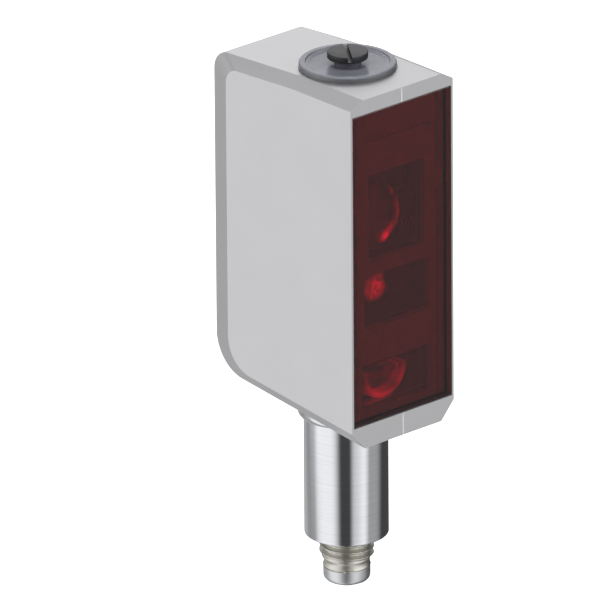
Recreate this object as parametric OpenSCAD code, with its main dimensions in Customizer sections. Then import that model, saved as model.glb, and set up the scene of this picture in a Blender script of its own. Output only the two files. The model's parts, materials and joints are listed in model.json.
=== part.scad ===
// Photoelectric sensor in a stainless block housing on a 12 mm stem, with an M8 plug connector.
// Millimetres. +X right, +Y to the rear, +Z up. The optical window faces -Y.
// Origin: on the stem's axis, at the shoulder where its straight wall meets the collar.

/* [Housing] */
// Width of the housing across its side faces
body_w = 19.4; // [19.4:0.1:20.4]
// Depth of the housing from its front face to its rear face
body_d = 31.1; // [31.1:0.1:33]
// Height of the front face
body_h = 52.5; // [52.5:0.5:56]
// Distance from the front face to the stem's axis
stem_setback = 12; // [11.8:0.1:12.2]
// Rise of the underside per millimetre towards the rear
underside_slope = 0.11; // [0.09:0.01:0.12]
// Fall of the top per millimetre behind its crown line
top_slope = 0.056; // [0.03:0.01:0.06]
// Thickness of the side walls
wall_t = 1.4; // [1.2:0.1:1.6]

/* [Window] */
// Width of the opening for the front screen
window_w = 18.7; // [18.5:0.1:18.8]
// Height of the opening for the front screen
window_h = 46.9; // [46.5:0.1:47]
// Height of the opening's lower edge above the front face's lower edge
window_sill = 3.4; // [3.2:0.1:3.6]
// Thickness of the front screen
screen_t = 1.4; // [1.2:0.1:1.6]

/* [Indicator and adjuster] */
// Diameter of the round indicator window
indicator_d = 13.8; // [13.4:0.1:14]
// Diameter of the slotted knob
knob_d = 5.8; // [5:0.1:6]
// Width of the knob's slot
knob_slot_w = 0.62; // [0.5:0.02:0.8]
// Diameter of the adjuster spindle
spindle_d = 2.4; // [2.2:0.1:2.6]

/* [Stem and connector] */
// Diameter of the mounting stem
stem_d = 12; // [11.8:0.1:12.2]
// Length of the stem's straight wall
stem_l = 18; // [17:0.5:20]
// Diameter of the collar above the stem
collar_d = 13.8; // [13.4:0.1:14]
// Diameter over the connector's thread crests
thread_d = 7.8; // [7.7:0.05:7.9]
// Pitch of the connector's thread
thread_pitch = 1.0; // [0.95:0.05:1.05]
// Length of the connector below the stem
plug_l = 7.3; // [7.2:0.1:7.6]

/* [Hidden] */

$fn = 64;
eps = 0.01;
fit_gap = 0.05;      // radial gap of parts that are fitted together
running_gap = 0.03;  // radial gap of parts that turn or slide
air_gap = 0.2;       // gap beside parts that only pass each other

// housing outline
front_y = -stem_setback;
rear_y = front_y + body_d;
base_z = 0.3;                    // front face's lower edge above the stem's shoulder
top_z = base_z + body_h;
crown_y = 0.2;                   // the top is level in front of this line
bevel_x = 2.4;                   // side bevels: width across X
bevel_top = 1.14;                // height of the side bevel along the top
bevel_bottom = 2.7;              // height of the side bevel along the underside
bevel_rear = 5.1;                // depth of the side bevel along the rear
spine_rear_r = [6, 3];           // rear corners of the middle section: lower, upper
side_rear_r = [5, 2.4];          // rear corners of the side faces: lower, upper
half_w = body_w / 2;
spine_half = half_w - bevel_x;

// inside of the housing
cut = 1;                         // how far a cut reaches past the surface it opens
sill_z = base_z + window_sill;
lintel_z = sill_z + window_h;
window_half = window_w / 2;
recess_rear = front_y + 3.9;     // the opening keeps its full width down to this depth
ledge_low = 0.8;                 // steps at the recess's floor
ledge_high = 1.2;
rear_wall = 1.7;
room_half = half_w - wall_t;
room_low = sill_z + ledge_low;
room_high = lintel_z - ledge_high;
room_rear = rear_y - bevel_rear;
back_room_in = 2;                // the room behind the board is narrower on each side
back_room_half = room_half - back_room_in;
back_room_rear = rear_y - rear_wall;

// hairlines on the front face
mark_w = 0.16;
mark_depth = 0.12;

// front screen
screen_gap = 0.15;               // width of the seal around the screen
screen_inset = 0.05;             // front of the screen behind the front face
seal_inset = 0.15;
seal_lip = 0.3;                  // width of the seal's lip behind the screen
seal_rear = front_y + 1.95;

// indicator window, on the adjuster's axis
adjuster_y = front_y + 11.2;
seat_z = top_z - 0.35;
indicator_r = indicator_d / 2;
rim_top = top_z + 0.8;
dish_top = top_z + 0.4;
rim_w = 0.95;
rim_edge = 0.35;
dish_step = 0.18;                // step down from the rim to the dish's slope
dish_slope_w = 1.64;             // from the rim's outside to the level part of the dish
neck_r = 1.9;                    // raised neck around the spindle
neck_round = 0.15;
boss_r = 5;
boss_low = room_high - 0.8;
window_groove_z = seat_z - 1.5;
oring_groove = [1, 0.9];         // O-ring groove: height, depth
window_oring_r = 0.44;
clip_t = 0.4;
clip_lip = 0.9;                  // how far the window's clip stands out from the boss
clip_bite = 0.4;                 // depth of the clip's groove
clip_play = 0.02;
clip_top = room_high - 0.12;

// adjuster
spindle_r = spindle_d / 2;
knob_r = knob_d / 2;
knob_low = top_z + 1.36;
knob_t = 0.93;
knob_edge = 0.12;
neck_top = knob_low - 0.2;
hub_low = knob_low - 0.12;
knob_slot_depth = 0.72;
knob_angle = 55;                 // the slot's direction at rest, from the X axis
hub_r = 1.75;
gland_r = 1.9;
gland_h = 1.6;
bush_h = 0.7;
spindle_oring_r = 0.32;
spindle_clip_z = boss_low - 0.2;
spindle_clip_r = 2.3;
spindle_groove = 0.25;
screw_r = 0.9;
screw_top = boss_low - 1.2;
screw_low = screw_top - 7.2;

// receiving optics on the carriage
lens_z = base_z + 31.25;
lens_y = front_y + 7.6;
lens_r = 5;
lens_edge = 1.2;                 // thickness of the lens at its edge
lens_dome = 1.3;                 // height of its domed front
lens_rim_out = 0.9;              // the dome's foot is this far in front of the carriage's middle
ring_r = lens_r + 0.5;
ring_half_t = 1;
rod_x = 7.2;
rod_r = 0.5;
ear_r = 0.95;
ear_half_h = 2;
arm_half = 2.4;
nut_r = 1.9;
nut_low = screw_top - 4.9;
nut_h = 3;

// fixed optics
carrier_front = front_y + 1.85;
carrier_rim = front_y + 2;       // its rim stands a little behind the raised face
carrier_rear = front_y + 3.4;
carrier_half = window_half - 0.35;
face_half = 7.45;                // half width of the raised face
face_gap = 0.6;                  // groove between the face and the rim
face_groove_rear = front_y + 2.8;
carrier_gap = 0.1;               // above and below the carrier
carrier_rib = 0.5;               // thickness of its side walls
sender_z = base_z + 20.9;
sender_lens_r = 2.5;
sender_lens_edge = 0.8;
sender_lens_dome = 0.9;
sender_lens_in = 0.2;            // the dome's foot behind the front of the lens wall
near_lens_r = 4.1;
near_lens_z = base_z + 8.6;
near_lens_flat = 0.5;            // height of its flat upper edge above its centre
near_lens_t = 1;
near_lens_out = 0.3;             // its middle stands this far out of the lens wall
near_rim_w = 0.9;                // a rim around the lens stands forward of it
near_rim_out = 1.4;
lens_wall_y = front_y + 6.2;
lens_wall_t = 0.8;
shelf_z = [base_z + 13.5, base_z + 24];
shelf_t = 0.7;
shelf_rear = 2;
rod_foot_z = shelf_z[1] - 0.3;
rod_top = room_high - 1.1;
rod_bracket_w = 1.9;
far_opening = [5.27, base_z + 27.2, base_z + 40.2];  // apertures: half width, lower and upper edge
sender_opening = [6.1, base_z + 17.2, base_z + 25.1];
near_opening = [6.7, base_z + 4.9, base_z + 11.8];
seam_z = [base_z + 45.2, base_z + 45.45];
seam_half = 6.5;
seam_depth = 0.35;
latch_z = [base_z + 35, base_z + 37.7];
led_r = 1.5;
led_flange = 0.35;
led_flange_t = 0.8;
led_base_y = shelf_rear + 2;
led_l = 3;
led_leg_x = 0.8;
led_leg_r = 0.22;
holder_r = 2.6;

// circuit board
board_y = 8;
board_t = 1;
board_back = board_y + board_t;
board_half = 7;
board_low = room_low + 1.2;
board_high = room_high - 1.3;
receiver_t = 1.2;
far_receiver_size = [4, 5];
far_receiver_drop = 0.4;         // below the middle of the receiver lens
near_receiver_size = [3, 3];
near_receiver_z = base_z + 9.5;
status_led_size = [1.2, 0.8];
status_led_t = 0.7;
led_x = 3.2;
status_led_drop = 1;             // below the board's upper edge
processor_size = [6, 6, 1.1];    // width, height, thickness
processor_z = base_z + 31;
driver_size = [4.4, 4, 1.3];
driver_z = base_z + 40;
supply_size = [3, 6, 0.9];
supply_z = base_z + 18;
resistors = 4;
resistor_x = 1.5;
resistor_pitch = 1;
resistor_size = [0.5, 1, 0.6];
screw_x = 6.2;
boss_post_r = 1.3;
screw_shank_r = 0.75;
screw_hole_r = 0.9;
screw_head_r = 1.4;
screw_head_t = 0.9;
screw_l = 3.6;
cross_half = 0.15;
cross_reach = 0.9;
cross_depth = 0.4;
guide_w = 1.4;
guide_t = 1;
guide_front = adjuster_y + 3.1;
guide_rear = board_y - 0.75;
guide_low = board_high - 1.6;
guide_high = boss_low - 0.15;

// stem
stem_r = stem_d / 2;
stem_edge = 0.15;
collar_r = collar_d / 2;
collar_round = collar_r - stem_r;
spigot_r = 4.95;
spigot_top = room_low + 0.9;
spigot_groove_z = room_low - 0.9;
spigot_groove = [0.9, 0.85];
stem_oring_r = 0.42;
stem_bore_r = 4.7;
wire_bore_r = 3.6;
bore_step_z = -2;

// connector
thread_r = thread_d / 2;
root_r = thread_r - 0.55;
thread_turns = 4;
thread_start = 0.7;              // first crest below the stem
crest_half = 0.1;
thread_half = 0.46;
run_out = 0.35;                  // the last turn is this much lower
plug_low = -stem_l - plug_l;
snap_r = 3.4;
waist_r = root_r - 0.1;
snap_top = plug_low + 2.95;      // the waist widens from here down to the snap ring
snap_seam = plug_low + 2.1;
snap_edge = 0.15;
snap_step = 0.25;                // radial step on which the snap ring sits
snap_step_h = 0.6;
snap_lip = 0.75;
snap_ring_r = snap_r - fit_gap;
socket_r = 2.85;
socket_floor = -stem_l - 1.2;
flange_r = stem_bore_r - fit_gap;
flange_top = -stem_l + 6.5;
flange_groove_z = flange_top - 1.6;
flange_groove = [1, 1];
flange_oring_r = 0.48;
pin_r = 0.5;
pin_circle = 1.45;
pin_angles = [45, 135, 225, 315];
pin_low = plug_low + 1.2;
pin_tip = 0.5;
wire_r = 0.4;
wire_bends = [1.7, 0.8];         // height of the bends above the board: front pair, rear pair

function underside(y) = base_z + underside_slope * (y - front_y);
function top_at(y) = top_z - top_slope * max(0, y - crown_y);
function arc(c, r, from, to, steps = 10) =
    [for (i = [0:steps]) let (a = from + (to - from) * i / steps) [c[0] + r * cos(a), c[1] + r * sin(a)]];

// outline in the YZ plane; in_top, in_low and in_rear move its edges inwards, r rounds the rear corners
function outline(in_top, in_low, in_rear, r) =
    let (
        y = rear_y - in_rear,
        low_tilt = atan(underside_slope),
        top_tilt = atan(top_slope),
        low_c = [y - r[0], underside(y - r[0]) + in_low + r[0] / cos(low_tilt)],
        top_c = [y - r[1], top_at(y - r[1]) - in_top - r[1] / cos(top_tilt)]
    )
    concat(
        [[front_y, base_z + in_low]],
        arc(low_c, r[0], -90 + low_tilt, 0),
        arc(top_c, r[1], 0, 90 - top_tilt),
        [[crown_y, top_z - in_top], [front_y, top_z - in_top]]
    );

// slab with a YZ outline, centred on X = 0
module slab(points, half) {
    rotate([90, 0, 90]) linear_extrude(2 * half, center = true) polygon(points);
}

// box given by its lowest and highest corners
module box(low, high) {
    translate(low) cube(high - low);
}

// box on side s (-1 or 1) from x0 to x1 outwards
module side_box(s, x0, x1, low, high) {
    box([min(s * x0, s * x1), low[0], low[1]], [max(s * x0, s * x1), high[0], high[1]]);
}

// box symmetric about X = 0
module mid_box(half, low, high) {
    box([-half, low[0], low[1]], [half, high[0], high[1]]);
}

// cylinder along Y from y0 to y1
module rod_y(x, z, r, y0, y1) {
    translate([x, y0, z]) rotate([-90, 0, 0]) cylinder(h = y1 - y0, r = r);
}

// cylinder along Z from z0 to z1
module rod_z(x, y, r, z0, z1) {
    translate([x, y, z0]) cylinder(h = z1 - z0, r = r);
}

// ring around the Z axis with a round section
module torus(big_r, small_r, x, y, z) {
    translate([x, y, z]) rotate_extrude() translate([big_r, 0]) circle(r = small_r, $fn = 24);
}

// what a groove of the given [height, depth] takes off a rod of radius r
module groove(r, z, size) {
    difference() {
        rod_z(0, 0, r + cut, z - size[0] / 2, z + size[0] / 2);
        rod_z(0, 0, r - size[1], z - size[0], z + size[0]);
    }
}

module housing_shape() {
    hull() {
        slab(outline(0, 0, 0, spine_rear_r), spine_half);
        slab(outline(bevel_top, bevel_bottom, bevel_rear, side_rear_r), half_w);
    }
}

module mark_pair() {
    for (z = [[lintel_z, top_z + eps], [base_z - eps, sill_z]])
        mid_box(mark_w / 2, [front_y - eps, z[0]], [front_y + mark_depth, z[1]]);
}

module housing() {
    color("silver") difference() {
        housing_shape();
        mid_box(window_half, [front_y - cut, sill_z], [recess_rear, lintel_z]);
        mid_box(room_half, [recess_rear - cut, room_low], [room_rear, room_high]);
        mid_box(back_room_half, [room_rear - cut, room_low + cut], [back_room_rear, room_high - cut]);
        rod_z(0, adjuster_y, indicator_r + fit_gap, seat_z, top_z + cut);
        rod_z(0, adjuster_y, boss_r + fit_gap, room_high - cut, seat_z + cut);
        rod_z(0, 0, spigot_r + fit_gap, -cut, room_low + cut);
        mark_pair();
    }
}

module axis_marks() {
    color("white") intersection() {
        mark_pair();
        mid_box(mark_w, [front_y, base_z], [front_y + mark_depth, top_z]);
    }
}

module front_screen() {
    front = front_y + screen_inset;
    color([0.30, 0.02, 0.03, 0.6]) mid_box(
        window_half - screen_gap, [front, sill_z + screen_gap], [front + screen_t, lintel_z - screen_gap]);
}

module screen_seal() {
    rear = front_y + screen_inset + screen_t;
    color("black") difference() {
        mid_box(window_half, [front_y + seal_inset, sill_z], [seal_rear, lintel_z]);
        mid_box(window_half - screen_gap, [front_y, sill_z + screen_gap], [rear, lintel_z - screen_gap]);
        mid_box(window_half - seal_lip, [front_y, sill_z + seal_lip],
                [seal_rear + cut, lintel_z - seal_lip]);
    }
}

module indicator_window() {
    bore_r = spindle_r + running_gap;
    inner_r = indicator_r - rim_w;
    color([0.75, 0.76, 0.82, 0.6]) translate([0, adjuster_y, 0]) difference() {
        rotate_extrude($fn = 96) polygon([
            [bore_r, boss_low], [boss_r, boss_low], [boss_r, seat_z], [indicator_r, seat_z],
            [indicator_r, rim_top - rim_edge], [indicator_r - rim_edge, rim_top], [inner_r, rim_top],
            [inner_r - neck_round, rim_top - dish_step], [indicator_r - dish_slope_w, dish_top],
            [neck_r + neck_round, dish_top], [neck_r, dish_top + neck_round], [neck_r, neck_top],
            [bore_r, neck_top]]);
        groove(boss_r, window_groove_z, oring_groove);
        groove(boss_r, clip_top - clip_t / 2, [clip_t + 2 * clip_play, clip_bite]);
        rod_z(0, 0, gland_r, boss_low - cut, boss_low + gland_h);
    }
}

module window_oring() {
    color("dimgray") torus(boss_r - window_oring_r - eps, window_oring_r, 0, adjuster_y, window_groove_z);
}

module window_clip() {
    gap_half = 1.2;
    color("gray") difference() {
        rod_z(0, adjuster_y, boss_r + clip_lip, clip_top - clip_t, clip_top);
        rod_z(0, adjuster_y, boss_r - clip_bite + fit_gap, clip_top - cut, clip_top + cut);
        mid_box(gap_half, [adjuster_y, clip_top - cut], [adjuster_y + boss_r + 2 * cut, clip_top + cut]);
    }
}

module spindle_oring() {
    color("dimgray") torus(spindle_r + spindle_oring_r + 2 * running_gap, spindle_oring_r, 0, adjuster_y,
                           boss_low + gland_h - spindle_oring_r - fit_gap);
}

module spindle_bush() {
    color("goldenrod") difference() {
        rod_z(0, adjuster_y, gland_r - fit_gap, boss_low, boss_low + bush_h);
        rod_z(0, adjuster_y, spindle_r + running_gap, boss_low - cut, boss_low + cut);
    }
}

module adjuster_knob() {
    knob_high = knob_low + knob_t;
    color([0.13, 0.13, 0.15]) translate([0, adjuster_y, 0]) difference() {
        rotate_extrude($fn = 96) polygon([
            [0, hub_low], [hub_r, hub_low], [hub_r, knob_low], [knob_r - knob_edge, knob_low],
            [knob_r, knob_low + knob_edge], [knob_r, knob_high - knob_edge],
            [knob_r - knob_edge, knob_high], [0, knob_high]]);
        rod_z(0, 0, spindle_r + fit_gap, dish_top - cut, knob_low + fit_gap);
        rotate(knob_angle) box([-knob_d, -knob_slot_w / 2, knob_high - knob_slot_depth],
                               [knob_d, knob_slot_w / 2, knob_high + cut]);
    }
}

module adjuster_spindle() {
    tip = 0.2;
    groove_r = spindle_r - spindle_groove;
    color("lightsteelblue") translate([0, adjuster_y, 0]) rotate_extrude() polygon([
        [0, screw_low], [screw_r - tip, screw_low], [screw_r, screw_low + tip], [screw_r, screw_top],
        [spindle_r, screw_top], [spindle_r, spindle_clip_z - clip_t], [groove_r, spindle_clip_z - clip_t],
        [groove_r, spindle_clip_z], [spindle_r, spindle_clip_z], [spindle_r, knob_low], [0, knob_low]]);
}

module spindle_clip() {
    gap_half = 0.7;
    color("gray") difference() {
        rod_z(0, adjuster_y, spindle_clip_r, spindle_clip_z - clip_t + running_gap,
              spindle_clip_z - running_gap);
        rod_z(0, adjuster_y, spindle_r - spindle_groove + running_gap, spindle_clip_z - cut,
              spindle_clip_z + cut);
        mid_box(gap_half, [adjuster_y, spindle_clip_z - cut],
                [adjuster_y + spindle_clip_r + cut, spindle_clip_z + cut]);
    }
}

module lens_carriage() {
    arm_t = 0.6;
    ring_top = lens_z + lens_r - 0.5;
    tongue_top = nut_low + nut_h;
    color([0.16, 0.16, 0.17]) difference() {
        union() {
            rod_y(0, lens_z, ring_r, lens_y - ring_half_t, lens_y + ring_half_t);
            for (s = [-1, 1]) {
                rod_z(s * rod_x, lens_y, ear_r, lens_z - ear_half_h, lens_z + ear_half_h);
                side_box(s, ring_r - arm_t, rod_x, [lens_y - arm_t, lens_z - ear_half_h],
                         [lens_y + arm_t, lens_z + ear_half_h]);
            }
            mid_box(arm_half, [lens_y - ring_half_t, ring_top], [lens_y + ring_half_t, tongue_top]);
            mid_box(arm_half, [lens_y, nut_low], [adjuster_y + arm_half, tongue_top]);
        }
        rod_y(0, lens_z, lens_r + fit_gap, lens_y - 2 * cut, lens_y + 2 * cut);
        rod_z(0, adjuster_y, nut_r + fit_gap, nut_low - cut, tongue_top + cut);
        for (s = [-1, 1])
            rod_z(s * rod_x, lens_y, rod_r + running_gap, lens_z - ear_half_h - cut,
                  lens_z + ear_half_h + cut);
    }
}

module carriage_nut() {
    color("goldenrod") difference() {
        rod_z(0, adjuster_y, nut_r, nut_low, nut_low + nut_h);
        rod_z(0, adjuster_y, screw_r + running_gap, nut_low - cut, nut_low + nut_h + cut);
    }
}

// round lens facing -Y: a cylindrical edge with a domed front
module lens(x, y, z, r, edge, dome, steps = 10) {
    dome_r = (r * r + dome * dome) / (2 * dome);
    translate([x, y, z]) rotate([90, 0, 0]) rotate_extrude($fn = 72)
        polygon(concat([[0, -edge], [r, -edge]], [for (i = [0:steps])
            let (a = asin(r / dome_r) * (1 - i / steps)) [dome_r * sin(a), dome_r * (cos(a) - 1) + dome]]));
}

module receiver_lens() {
    color([0.9, 0.5, 0.5, 0.6])
        lens(0, lens_y - lens_rim_out, lens_z, lens_r, lens_edge, lens_dome);
}

// opening given as [half width, lower edge, upper edge]
module aperture(size) {
    mid_box(size[0], [carrier_front - cut, size[1]], [lens_wall_y, size[2]]);
}

module optics_carrier() {
    side_half = room_half - air_gap;
    low = sill_z + seal_lip;
    high = lintel_z - seal_lip;
    face_low = sill_z + face_gap;
    face_high = lintel_z - face_gap;
    floor_z = room_low + carrier_gap;
    color([0.2, 0.19, 0.2]) difference() {
        union() {
            mid_box(carrier_half, [carrier_rim, low], [carrier_rear, high]);
            mid_box(face_half, [carrier_front, face_low], [carrier_rear, face_high]);
            for (z = shelf_z)
                mid_box(side_half, [carrier_rear - eps, z - shelf_t / 2], [shelf_rear, z + shelf_t / 2]);
            mid_box(side_half, [lens_wall_y, floor_z], [lens_wall_y + lens_wall_t, shelf_z[1]]);
            for (s = [-1, 1]) {
                side_box(s, side_half - carrier_rib, side_half, [carrier_rear - eps, floor_z],
                         [shelf_rear, shelf_z[1]]);
                side_box(s, side_half - rod_bracket_w, side_half, [carrier_rear - eps, rod_top - cut],
                         [lens_y + cut, rod_top]);
                for (z = shelf_z) rod_y(s * screw_x, z, boss_post_r, shelf_rear - cut, board_y);
            }
        }
        aperture(far_opening);
        aperture(sender_opening);
        aperture(near_opening);
        mid_box(seam_half, [carrier_front - cut, seam_z[0]], [carrier_front + seam_depth, seam_z[1]]);
        rod_y(0, sender_z, sender_lens_r + fit_gap, lens_wall_y - cut, lens_wall_y + lens_wall_t + cut);
        near_lens_outline(fit_gap, lens_wall_y - cut, lens_wall_y + lens_wall_t + cut);
        for (s = [-1, 1]) {
            rod_z(s * rod_x, lens_y, rod_r, rod_foot_z, rod_top + cut);
            side_box(s, face_half, face_half + face_gap, [carrier_front - cut, face_low],
                     [face_groove_rear, latch_z[0]]);
            side_box(s, face_half, face_half + face_gap, [carrier_front - cut, latch_z[1]],
                     [face_groove_rear, face_high]);
            for (z = shelf_z)
                rod_y(s * screw_x, z, screw_shank_r + fit_gap, board_y - screw_l - air_gap, board_y + cut);
        }
    }
}

module guide_rods() {
    color("silver") for (s = [-1, 1]) rod_z(s * rod_x, lens_y, rod_r, rod_foot_z, rod_top);
}

module sender_lens() {
    color([1, 0.1, 0.1, 0.7])
        lens(0, lens_wall_y + sender_lens_in, sender_z, sender_lens_r, sender_lens_edge, sender_lens_dome);
}

// outline of the near receiver's lens, round below and flat above, grown by more
module near_lens_outline(more, y0, y1) {
    near_r = near_lens_r + more;
    intersection() {
        rod_y(0, near_lens_z, near_r, y0, y1);
        mid_box(near_r, [y0 - cut, near_lens_z - near_r], [y1 + cut, near_lens_z + near_lens_flat + more]);
    }
}

module near_lens() {
    front = lens_wall_y - near_lens_out;
    color([0.9, 0.4, 0.4, 0.6]) difference() {
        near_lens_outline(0, front - near_rim_out, front + near_lens_t);
        near_lens_outline(-near_rim_w, front - near_rim_out - cut, front);
    }
}

module sender_led() {
    dome_y = led_base_y - led_l;
    foot_y = led_base_y + air_gap;
    color("red") {
        translate([0, dome_y, sender_z]) sphere(r = led_r, $fn = 32);
        rod_y(0, sender_z, led_r, dome_y, foot_y);
        rod_y(0, sender_z, led_r + led_flange, foot_y - led_flange_t, foot_y);
        for (s = [-1, 1]) rod_y(s * led_leg_x, sender_z, led_leg_r, led_base_y, board_y);
    }
}

module led_holder() {
    step_y = led_base_y + air_gap - led_flange_t;
    color([0.12, 0.12, 0.12]) difference() {
        rod_y(0, sender_z, holder_r, 0, board_y);
        rod_y(0, sender_z, led_r + fit_gap, -cut, step_y);
        rod_y(0, sender_z, led_r + led_flange + fit_gap, step_y - 2 * eps, board_y + cut);
    }
}

// block of the given [width, height] on the board's front
module chip(x, z, size, t) {
    box([x - size[0] / 2, board_y - t, z - size[1] / 2], [x + size[0] / 2, board_y, z + size[1] / 2]);
}

module far_receiver() {
    color([0.1, 0.1, 0.12]) chip(0, lens_z - far_receiver_drop, far_receiver_size, receiver_t);
}

module near_receiver() {
    color([0.1, 0.1, 0.12]) chip(0, near_receiver_z, near_receiver_size, receiver_t);
}

module main_board() {
    color("darkgreen") difference() {
        mid_box(board_half, [board_y, board_low], [board_back, board_high]);
        for (s = [-1, 1], z = shelf_z) rod_y(s * screw_x, z, screw_hole_r, board_y - cut, board_back + cut);
    }
}

// block of the given [width, height, thickness] on the board's rear
module rear_chip(x, z, size) {
    translate([x, 0, z])
        mid_box(size[0] / 2, [board_back, -size[1] / 2], [board_back + size[2], size[1] / 2]);
}

// processor, output driver, supply regulator and a row of resistors on the board's rear
module board_chips() {
    color([0.1, 0.1, 0.1]) {
        rear_chip(0, processor_z, processor_size);
        rear_chip(0, driver_z, driver_size);
        rear_chip(-resistor_x, supply_z, supply_size);
        for (i = [0:resistors - 1]) rear_chip(resistor_x + i * resistor_pitch, supply_z, resistor_size);
    }
}

module board_screws() {
    head_high = board_back + screw_head_t;
    slot_y = head_high - cross_depth;
    color("gainsboro") for (s = [-1, 1], z = shelf_z) difference() {
        union() {
            rod_y(s * screw_x, z, screw_head_r, board_back, head_high);
            rod_y(s * screw_x, z, screw_shank_r, board_y - screw_l, board_back + eps);
        }
        for (arm = [[cross_reach, cross_half], [cross_half, cross_reach]])
            translate([s * screw_x, 0, z])
                mid_box(arm[0], [slot_y, -arm[1]], [head_high + cut, arm[1]]);
    }
}

module status_leds() {
    color("khaki") for (s = [-1, 1])
        chip(s * led_x, board_high - status_led_drop, status_led_size, status_led_t);
}

module light_guide() {
    color([0.9, 0.9, 0.95, 0.7]) {
        for (s = [-1, 1]) side_box(s, led_x - guide_w / 2, led_x + guide_w / 2, [guide_front, guide_low],
                                   [guide_rear, guide_high]);
        mid_box(led_x, [guide_rear - guide_t, guide_low], [guide_rear, guide_high]);
    }
}

// one insulated wire from a contact pin up the stem and back to the board
module wire(x, y) {
    bend_z = board_low + (y > 0 ? wire_bends[1] : wire_bends[0]);
    color("saddlebrown") {
        rod_z(x, y, wire_r, flange_top, bend_z);
        translate([x, y, bend_z]) sphere(r = wire_r, $fn = 24);
        rod_y(x, bend_z, wire_r, y, board_y);
    }
}

module lead_wires() {
    for (a = pin_angles) wire(pin_circle * cos(a), pin_circle * sin(a));
}

module stem_tube() {
    color("gainsboro") difference() {
        union() {
            rotate_extrude($fn = 96) union() {
                polygon([[0, -stem_l], [stem_r - stem_edge, -stem_l], [stem_r, -stem_l + stem_edge],
                         [stem_r, 0], [0, 0]]);
                polygon(concat([[0, collar_round], [0, 0], [stem_r, 0]],
                    arc([stem_r, collar_round], collar_round, -90, 0, 8)));
            }
            difference() {
                rod_z(0, 0, collar_r, collar_round, underside(rear_y));
                translate([0, front_y, base_z]) rotate([atan(underside_slope), 0, 0])
                    translate([-body_w, 0, 0]) cube([2 * body_w, 2 * body_d, body_h]);
            }
            rod_z(0, 0, spigot_r, collar_round - eps, spigot_top);
        }
        rod_z(0, 0, stem_bore_r, -stem_l - cut, bore_step_z);
        rod_z(0, 0, wire_bore_r, bore_step_z - cut, spigot_top + cut);
        groove(spigot_r, spigot_groove_z, spigot_groove);
    }
}

module stem_oring() {
    color("dimgray") torus(spigot_r - stem_oring_r + eps, stem_oring_r, 0, 0, spigot_groove_z);
}

// outline of the thread: flat crests on V flanks, the last one fading out
function thread_outline(turns) = [for (i = [0:turns - 1])
    let (z = -stem_l - thread_start - i * thread_pitch,
         crest = i < turns - 1 ? thread_r : thread_r - run_out)
    for (p = [[root_r, thread_half], [crest, crest_half], [crest, -crest_half], [root_r, -thread_half]])
        [p[0], z + p[1]]];

module connector_body() {
    step_r = snap_r - snap_step;
    color([0.66, 0.65, 0.6]) difference() {
        rotate_extrude($fn = 96) polygon(concat(
            [[0, flange_top], [flange_r, flange_top], [flange_r, -stem_l], [root_r, -stem_l]],
            thread_outline(thread_turns),
            [[waist_r, snap_top], [snap_r, snap_seam + snap_edge],
             [snap_r - fit_gap, snap_seam + fit_gap], [step_r, snap_seam + fit_gap],
             [step_r, snap_seam - snap_step_h], [0, snap_seam - snap_step_h]]));
        rod_z(0, 0, socket_r, plug_low - cut, flange_top + cut);
        groove(flange_r, flange_groove_z, flange_groove);
    }
}

module connector_oring() {
    color("dimgray") torus(flange_r - flange_oring_r - eps, flange_oring_r, 0, 0, flange_groove_z);
}

module snap_ring() {
    color([0.75, 0.75, 0.76]) difference() {
        rotate_extrude($fn = 96) polygon(concat([[0, plug_low]],
            arc([snap_ring_r - snap_lip, plug_low + snap_lip], snap_lip, -90, 0, 8),
            [[snap_ring_r, snap_seam], [0, snap_seam]]));
        rod_z(0, 0, snap_r - snap_step + eps, snap_seam - snap_step_h, snap_seam + cut);
        rod_z(0, 0, socket_r, plug_low - cut, snap_seam);
    }
}

module contact_insert() {
    color([0.12, 0.12, 0.13]) difference() {
        rod_z(0, 0, socket_r - fit_gap, socket_floor, flange_top);
        for (a = pin_angles)
            rod_z(pin_circle * cos(a), pin_circle * sin(a), pin_r, socket_floor - cut, flange_top + cut);
    }
}

module contact_pins() {
    color("gold") for (a = pin_angles) translate([pin_circle * cos(a), pin_circle * sin(a), 0])
        rotate_extrude($fn = 32) polygon([
            [0, pin_low], [pin_r - pin_tip / 2, pin_low], [pin_r, pin_low + pin_tip], [pin_r, flange_top],
            [0, flange_top]]);
}

housing();
axis_marks();
front_screen();
screen_seal();
indicator_window();
window_oring();
window_clip();
spindle_oring();
spindle_bush();
adjuster_knob();
adjuster_spindle();
spindle_clip();
lens_carriage();
carriage_nut();
receiver_lens();
optics_carrier();
guide_rods();
sender_lens();
near_lens();
sender_led();
led_holder();
far_receiver();
near_receiver();
main_board();
board_chips();
board_screws();
status_leds();
light_guide();
lead_wires();
stem_tube();
stem_oring();
connector_body();
connector_oring();
snap_ring();
contact_insert();
contact_pins();
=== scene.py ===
import json
import math

import bmesh
import bpy
from mathutils import Matrix, Vector


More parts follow.
